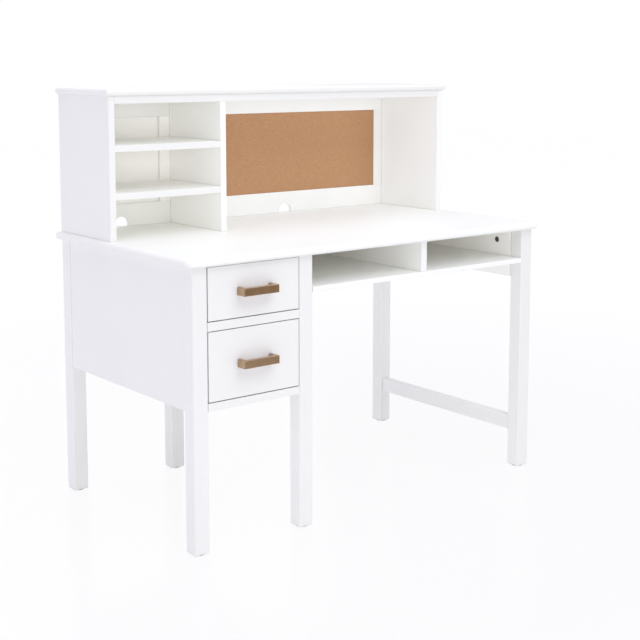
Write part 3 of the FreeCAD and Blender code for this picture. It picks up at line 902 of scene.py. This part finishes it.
class DeskFrame:
    """The desktop, the legs and everything fixed between them."""

    def build(self) -> None:
        """Dresses every fixed board, leg and rail of the desk."""
        legs = [f"leg_{row}_{side}" for row in ("front", "rear") for side in ("left", "middle", "right")]
        dress(legs, WOOD_PAINT[Along.Z], THIN_ARRIS)
        dress(["drawer_rail_bottom", "drawer_rail_middle"], WOOD_PAINT[Along.X], THIN_ARRIS)
        dress(["side_stretcher"], WOOD_PAINT[Along.Y], THIN_ARRIS)
        dress(["desktop"], BOARD_PAINT, BOARD_ARRIS)
        boards = ["pedestal_side_outer", "pedestal_side_inner", "pedestal_back", "pedestal_bottom",
                  "side_apron", "back_apron", "cubby_shelf", "cubby_divider", "runner_battens"]
        dress(boards, BOARD_PAINT, BOARD_ARRIS)
        dress(["foot_glides"], GLIDE_NYLON, METAL_ARRIS)
        dress(["cam_locks"], CAST_ZINC)
        dress(["cam_bolts"], ZINC)


@dataclass
class Hutch:
    """The hutch on the rear of the desktop, its framed back and the cork board."""

    screw_inset: float = 0.090
    screw: Screw = Screw(0.002, 0.040, 0.004, 0.002, 0.0016)

    def build(self) -> None:
        """Dresses the boards and the cork, and builds the screws."""
        parts = ("top", "side_left", "side_right", "divider", "shelf_lower", "shelf_upper", "front_rail",
                 "back_rail_top", "back_rail_bottom", "stile_left", "stile_middle", "stile_right",
                 "back_panel")
        dress([f"hutch_{part}" for part in parts], BOARD_PAINT, BOARD_ARRIS)
        dress(["cork_board"], CORK, THIN_ARRIS)
        self.build_screws()

    def build_screws(self) -> None:
        """Builds the four wood screws that come up through the desktop."""
        low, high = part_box("hutch_screws")
        depth = (low.y + high.y) / 2
        walls = [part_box(f"hutch_{wall}") for wall in ("side_left", "divider", "side_right")]
        solid = Solid()
        for (_, left), (right, _) in zip(walls, walls[1:]):
            for x in (left.x + self.screw_inset, right.x - self.screw_inset):
                under = Vector((x, depth, low.z + self.screw.head_height))
                self.screw.add_to(solid, facing(under, (0.0, 0.0, -1.0)))
        solid.piece("hutch_hold_down_screws", ZINC, "desk", Slot.ZINC_STEEL, ["hutch_screws"])


@dataclass(frozen=True)
class BallCage:
    """A cage pressed from strip on one side of a runner's mounting face, pierced for two rows of balls."""

    face: float
    side: int
    height: float
    start: float
    length: float
    back: float
    mouth: float
    half_height: float
    gauge: float = 0.0006
    bend: float = 0.0012
    ball_radius: float = 0.0015
    ball_inset: float = 0.0010
    balls_in_row: int = 10
    pocket_play: float = 0.0002
    window: Flat = (0.030, 0.008)
    window_places: tuple[float, ...] = (0.2, 0.5, 0.8)
    overcut: float = 0.001

    def section(self) -> list[Flat]:
        """Draws the section.

        Returns:
            Its corners: distance from the mounting face, then height from the middle.
        """
        outer, inner = self.half_height + self.gauge / 2, self.half_height - self.gauge / 2
        centre, rise, tight = self.back + self.bend, outer - self.bend, self.bend - self.gauge
        upper, lower = (centre, rise), (centre, -rise)
        return [
            (self.mouth, outer), *arc(upper, self.bend, 90, 180), *arc(lower, self.bend, 180, 270),
            (self.mouth, -outer), (self.mouth, -inner),
            *arc(lower, tight, 270, 180), *arc(upper, tight, 180, 90), (self.mouth, inner),
        ]

    def ball_row(self) -> list[float]:
        """The places along the runner of the balls of one row."""
        pitch = self.length / self.balls_in_row
        return [self.start + pitch * (count + 0.5) for count in range(self.balls_in_row)]

    def add_to(self, cages: Solid, pockets: Solid, balls: Solid) -> None:
        """Adds the cage, what is cut from it, and its balls.

        Args:
            cages: Takes the bent strip.
            pockets: Takes what is cut away: a hole for each ball, and the windows in the web.
            balls: Takes the balls.
        """
        foot = standing((self.face, self.start, self.height), (self.side, 0, 0), (0, 0, 1), (0, 1, 0))
        cages.prism(self.section(), self.length, foot)
        across_hole = 2 * (self.ball_radius + self.pocket_play)
        hole = round_bar(across_hole, across_hole)
        reach = self.half_height + self.overcut
        x = self.face + self.side * (self.mouth - self.ball_radius - self.ball_inset)
        for along in self.ball_row():
            pockets.prism(hole, 2 * reach, Matrix.Translation((x, along, self.height - reach)))
            for up in (-1, 1):
                balls.ball(self.ball_radius, Vector((x, along, self.height + up * self.half_height)))
        x = self.face + self.side * (self.back - self.overcut)
        for share in self.window_places:
            place = (x, self.start + self.length * share, self.height)
            behind = standing(place, (0, 1, 0), (0, 0, 1), (self.side, 0, 0))
            pockets.prism(round_bar(*self.window), self.gauge + 2 * self.overcut, behind)


@dataclass
class BallRunner:
    """One drawer's pair of three-member runners, with real balls in cages, screws and levers."""

    drawer: str
    thickness: float = 0.0127
    gauge: float = 0.0012
    race: float = 0.0036
    running_gap: float = 0.0003
    cage_length: float = 0.150
    cage_setback: float = 0.020
    screw: Screw = Screw(0.0016, 0.010, 0.0032, 0.0016, 0.0010)
    screw_places: tuple[float, ...] = (0.030, 0.215, 0.400)
    lever_place: float = 0.055
    lever_length: float = 0.085
    lever_width: float = 0.009
    lever_thickness: float = 0.0022

    def __post_init__(self) -> None:
        """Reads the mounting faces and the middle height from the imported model."""
        low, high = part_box("runner_cabinet_members")
        self.faces = [(low.x, 1), (high.x, -1)]
        self.middle_low, self.middle_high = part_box(f"runner_middle_{self.drawer}")
        self.height = (self.middle_low.z + self.middle_high.z) / 2
        self.half_middle = (self.middle_high.z - self.middle_low.z) / 2
        self.drawer_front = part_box(f"drawer_{self.drawer}_runners")[0].y

    def build(self) -> None:
        """Dresses the members, and builds the ball cages, the balls, the screws and the levers."""
        dress([f"runner_middle_{self.drawer}", f"drawer_{self.drawer}_runners"], ZINC, METAL_ARRIS)
        self.build_cages()
        self.build_screws()
        self.build_levers()

    def cages(self) -> list[BallCage]:
        """Lays out the cages.

        Returns:
            Those between the cabinet and middle members, then those inside the middle members.
        """
        outer_back = self.gauge + self.running_gap
        inner_back = outer_back + BallCage.gauge + 2 * self.running_gap + self.gauge
        mouth = self.thickness - 2 * self.gauge - self.running_gap
        rear = self.middle_high.y - self.cage_setback - self.cage_length
        front = self.middle_low.y + self.cage_setback
        outer_half = self.half_middle + self.race / 2
        inner_half = self.half_middle - self.gauge - self.race / 2
        kinds = ((rear, outer_back, outer_half), (front, inner_back, inner_half))
        return [BallCage(face, side, self.height, start, self.cage_length, back, mouth, half_height)
                for start, back, half_height in kinds for face, side in self.faces]

    def build_cages(self) -> None:
        """Builds the pierced cages and the balls in them."""
        cages, pockets, balls = Solid(), Solid(), Solid()
        for cage in self.cages():
            cage.add_to(cages, pockets, balls)
        cages.cut(pockets)
        body = f"runner_middle_{self.drawer}"
        cages.piece(f"ball_retainers_{self.drawer}", ZINC, body, Slot.ZINC_STEEL,
                    [f"ball_cages_{self.drawer}"])
        balls.piece(f"bearing_balls_{self.drawer}", BEARING_STEEL, body, Slot.ZINC_STEEL)

    def web_place(self, face: float, side: int, along: float) -> Point:
        """A place on the drawer member's web, at a distance from its front end."""
        return (face + side * (self.thickness - self.gauge), self.drawer_front + along, self.height)

    def build_screws(self) -> None:
        """Builds the screws that hold the drawer members to the box."""
        solid = Solid()
        for face, side in self.faces:
            for along in self.screw_places:
                self.screw.add_to(solid, facing(self.web_place(face, side, along), (-side, 0, 0)))
        solid.piece(f"runner_screws_{self.drawer}", ZINC, f"drawer_{self.drawer}", Slot.ZINC_STEEL)

    def build_levers(self) -> None:
        """Builds the moulded release lever inside each drawer member."""
        solid = Solid()
        for face, side in self.faces:
            place = self.web_place(face, side, self.lever_place + self.lever_length / 2)
            solid.prism(round_bar(self.lever_length, self.lever_width), self.lever_thickness,
                        standing(place, (0, 1, 0), (0, 0, 1), (-side, 0, 0)))
        solid.piece(f"release_levers_{self.drawer}", LEVER_NYLON, f"drawer_{self.drawer}", Slot.GLIDE_NYLON)


@dataclass
class Drawer:
    """One drawer: its front, its box, its bar pull and the pull's screws."""

    name: str
    screw: Screw = Screw(0.002, 0.028, 0.004, 0.0022, 0.0007)

    def build(self) -> None:
        """Dresses the front, the box and the pull, and builds the pull's screws."""
        dress([f"drawer_{self.name}_front"], BOARD_PAINT, THIN_ARRIS)
        box = [f"drawer_{self.name}_{part}" for part in ("side_left", "side_right", "back", "bottom")]
        dress(box, FOIL, BOARD_ARRIS)
        dress([f"drawer_{self.name}_pull"], BRONZE, METAL_ARRIS)
        self.build_pull_screws()
        BallRunner(self.name).build()

    def build_pull_screws(self) -> None:
        """Builds the two machine screws, whose heads are inside the box."""
        node = f"drawer_{self.name}_pull_screws"
        low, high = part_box(node)
        reach = self.screw.head_radius
        solid = Solid()
        for x in (low.x + reach, high.x - reach):
            under = Vector((x, high.y - self.screw.head_height, (low.z + high.z) / 2))
            self.screw.add_to(solid, facing(under, (0.0, 1.0, 0.0)))
        solid.piece(f"pull_fixings_{self.name}", ZINC, f"drawer_{self.name}", Slot.ZINC_STEEL, [node])


# The studio
# ----------


@dataclass(frozen=True)
class Softbox:
    """A soft rectangular lamp."""

    name: str
    place: Point
    aim_height: float
    size: Flat
    power: float
    colour: Colour
    only: tuple[str, ...] = ()
    mirrored: bool = True

    def hang(self) -> None:
        """Adds the lamp, which the camera doesn't see. It may light chosen nodes only."""
        lamp = bpy.data.lights.new(self.name, "AREA")
        lamp.shape = "RECTANGLE"
        lamp.size, lamp.size_y = self.size
        lamp.energy = self.power
        lamp.color = self.colour
        holder = bpy.data.objects.new(self.name, lamp)
        away = Vector((0.0, 0.0, self.aim_height)) - Vector(self.place)
        holder.location = self.place
        holder.rotation_euler = away.to_track_quat("-Z", "Y").to_euler()
        holder.visible_camera = False
        holder.visible_glossy = self.mirrored
        bpy.context.scene.collection.objects.link(holder)
        if self.only:
            reach = bpy.data.collections.new(self.name)
            for name in self.only:
                reach.objects.link(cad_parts[name])
            holder.light_linking.receiver_collection = reach


@dataclass
class Studio:
    """A white floor and backdrop, soft light and the camera."""

    bounces: int = 16
    floor_reach: float = 14.0
    # the floor's glow near the desk and far from it, with the distances between which it rises
    floor_glow: Flat = (0.94, 1.0)
    floor_glow_ramp: Flat = (1.0, 3.2)
    floor_tint: Colour = (0.99, 0.99, 1.0)
    floor_shadow: Colour = (0.06, 0.06, 0.06)
    floor_bounce: Colour = (0.90, 0.90, 0.90)
    floor_shine: float = 0.05
    floor_blur: float = 0.18
    sheet_splits: int = 4
    flag_place: Point = (0.52, -1.40, 0.37)
    flag_faces: Point = (-0.62, 0.78, 0.12)
    flag_reach: float = 1.0
    # colour of the flag's glow, which the pulls show as a painted reflection
    flag_glow: Colour = (0.34, 0.25, 0.15)
    ambient: Colour = (0.57, 0.566, 0.625)
    backdrop: Colour = (1.0, 1.0, 1.0)
    softboxes: tuple[Softbox, ...] = (
        Softbox("overhead", (0.2, -0.4, 5.2), 0.6, (5.0, 5.0), 86.0, (0.985, 0.985, 1.0)),
        Softbox("overhead_front", (0.0, -2.3, 3.2), 0.6, (3.6, 1.6), 32.5, (0.94, 0.99, 0.99),
                mirrored=False),
        Softbox("front", (-2.2, -3.4, 0.8), 0.75, (2.6, 1.5), 19.5, (0.96, 0.93, 1.0), mirrored=False),
        Softbox("rear_left", (-3.6, 2.2, 0.9), 0.6, (2.6, 1.6), 23.5, (0.87, 0.85, 1.0)),
        Softbox("rear", (1.6, 4.2, 1.9), 0.6, (3.0, 2.2), 16.0, (1.0, 0.96, 0.84)),
        Softbox("bay_fill", (-1.2, -3.9, 0.85), 0.75, (3.2, 1.5), 39.0, (0.99, 0.965, 1.0),
                ("hutch_back_panel", "hutch_stile_left", "hutch_stile_middle")),
        Softbox("cork_fill", (1.3, -3.8, 0.85), 0.75, (2.6, 1.5), 47.0, (0.965, 1.0, 1.0),
                ("cork_board", "hutch_stile_right")),
        Softbox("rail_fill", (0.2, -3.8, 0.85), 0.75, (3.0, 1.5), 31.0, (0.90, 0.95, 1.0),
                ("hutch_back_rail_top", "hutch_back_rail_bottom")),
        Softbox("cubby_fill", (-0.3, -3.9, 0.75), 0.65, (3.2, 1.3), 80.0, (1.0, 1.0, 0.99),
                ("back_apron", "side_apron")),
        Softbox("cubby_side_fill", (-2.9, -3.0, 0.9), 0.7, (2.4, 1.5), 17.0, (0.91, 0.94, 1.0),
                ("cubby_divider",)),
        Softbox("side_fill", (-2.9, -3.0, 0.9), 0.75, (2.4, 1.5), 30.5, (0.91, 0.94, 1.0),
                ("hutch_side_right", "hutch_divider")),
        Softbox("level_fill", (0.2, -3.0, 2.2), 0.65, (3.2, 1.3), 18.0, (0.80, 0.89, 1.0),
                ("desktop", "cubby_shelf")),
    )
    camera_place: Point = (-1.986, -2.5605, 1.078)
    camera_yaw: float = 38.38
    camera_pitch: float = 7.21
    focal_pixels: float = 1280.0
    axis_row: float = 224.0

    def build(self) -> None:
        """Sets up the floor, the backdrop, the light and the camera."""
        scene = bpy.context.scene
        scene.view_settings.view_transform = "Standard"
        scene.cycles.max_bounces = self.bounces
        scene.cycles.diffuse_bounces = self.bounces
        self.lay_floor()
        self.stand_flag()
        self.light_world()
        for softbox in self.softboxes:
            softbox.hang()
        self.aim_camera()

    def seen(self, board: NodeBoard) -> Socket:
        """One for the rays that show the surroundings themselves, straight or through glass."""
        path = board.place("LightPath")
        return board.sum_up("MAXIMUM", path["Is Camera Ray"], path["Is Transmission Ray"])

    def sheet(self, name: str, reach: float, place: Matrix) -> tuple[Object, NodeBoard]:
        """Makes a flat square that belongs to the studio.

        Args:
            name: Its name.
            reach: Half of its side.
            place: Where its middle stands, and which way it faces.

        Returns:
            The square, and the board for its material's nodes, which is empty.
        """
        grid = bmesh.new()
        splits = self.sheet_splits
        bmesh.ops.create_grid(grid, x_segments=splits, y_segments=splits, size=reach, matrix=place)
        made = housed(grid, name)
        material = bpy.data.materials.new(name)
        material.use_nodes = True
        material.node_tree.nodes.clear()
        made.data.materials.append(material)
        return made, NodeBoard(material.node_tree)

    def stand_flag(self) -> None:
        """Stands a dimly glowing brownish flag at the front right. Only reflections see it: it paints a
        darker reflection onto the pulls' faces.
        """
        place = facing(self.flag_place, self.flag_faces)
        flag, board = self.sheet("studio_flag", self.flag_reach, place)
        for sight in ("camera", "diffuse", "transmission", "volume_scatter", "shadow"):
            setattr(flag, f"visible_{sight}", False)
        flag.active_material.cycles.emission_sampling = "NONE"
        # the flag's glow is a painted reflection on the pulls
        reflected_glow = board.place("Emission", {"Color": opaque(self.flag_glow)})[0]
        board.place("OutputMaterial", {"Surface": reflected_glow})

    def lay_floor(self) -> None:
        """Lays a white floor that keeps a soft shadow and a faint reflection of the desk. To the camera it
        glows, more brightly further from the desk: painted light where the lamps fall off.
        """
        _, board = self.sheet("studio_floor", self.floor_reach, Matrix.Identity(4))
        lit, shade = (board.place("BsdfDiffuse", {"Color": opaque(grey)})[0]
                      for grey in (self.floor_bounce, self.floor_shadow))
        spot = board.place("NewGeometry")["Position"]
        away = board.place("VectorMath", {0: spot}, operation="LENGTH")["Value"]
        # painted light: the floor's glow rises with distance from the desk
        glow = board.remap(away, self.floor_glow_ramp, self.floor_glow)
        white = board.place("Emission", {"Color": opaque(self.floor_tint), "Strength": glow})[0]
        shown = board.place("AddShader", {0: shade, 1: white})[0]
        shine = board.place("BsdfGlossy", {"Roughness": self.floor_blur})[0]
        shown = board.place("MixShader", {0: self.floor_shine, 1: shown, 2: shine})[0]
        whole = board.place("MixShader", {0: self.seen(board), 1: lit, 2: shown})[0]
        board.place("OutputMaterial", {"Surface": whole})

    def light_world(self) -> None:
        """Lights the scene evenly from all round, and shows white wherever the world is seen."""
        world = bpy.data.worlds.new("studio")
        bpy.context.scene.world = world
        world.use_nodes = True
        world.node_tree.nodes.clear()
        board = NodeBoard(world.node_tree)
        light = board.place("Background", {"Color": opaque(self.ambient)})[0]
        white = board.place("Background", {"Color": opaque(self.backdrop)})[0]
        whole = board.place("MixShader", {0: self.seen(board), 1: light, 2: white})[0]
        board.place("OutputWorld", {"Surface": whole})

    def aim_camera(self) -> None:
        """Stands the camera, whose lens has its axis above the middle of the frame."""
        lens = bpy.data.cameras.new("camera")
        lens.sensor_width = SENSOR_WIDTH
        lens.lens = self.focal_pixels / IMAGE_SIDE * SENSOR_WIDTH
        lens.shift_y = (self.axis_row - IMAGE_SIDE / 2) / IMAGE_SIDE
        camera = bpy.data.objects.new("camera", lens)
        camera.location = self.camera_place
        camera.rotation_euler = (math.radians(90 - self.camera_pitch), 0.0, math.radians(-self.camera_yaw))
        bpy.context.scene.collection.objects.link(camera)
        bpy.context.scene.camera = camera


def main() -> None:
    """Builds the sub-assemblies in order."""
    logging.basicConfig(level=logging.INFO, format="%(message)s")
    dress(["runner_cabinet_members"], ZINC, METAL_ARRIS)
    for assembly in (DeskFrame(), Hutch(), Drawer("upper"), Drawer("lower"), Studio()):
        assembly.build()


if __name__ == "__main__":
    main()
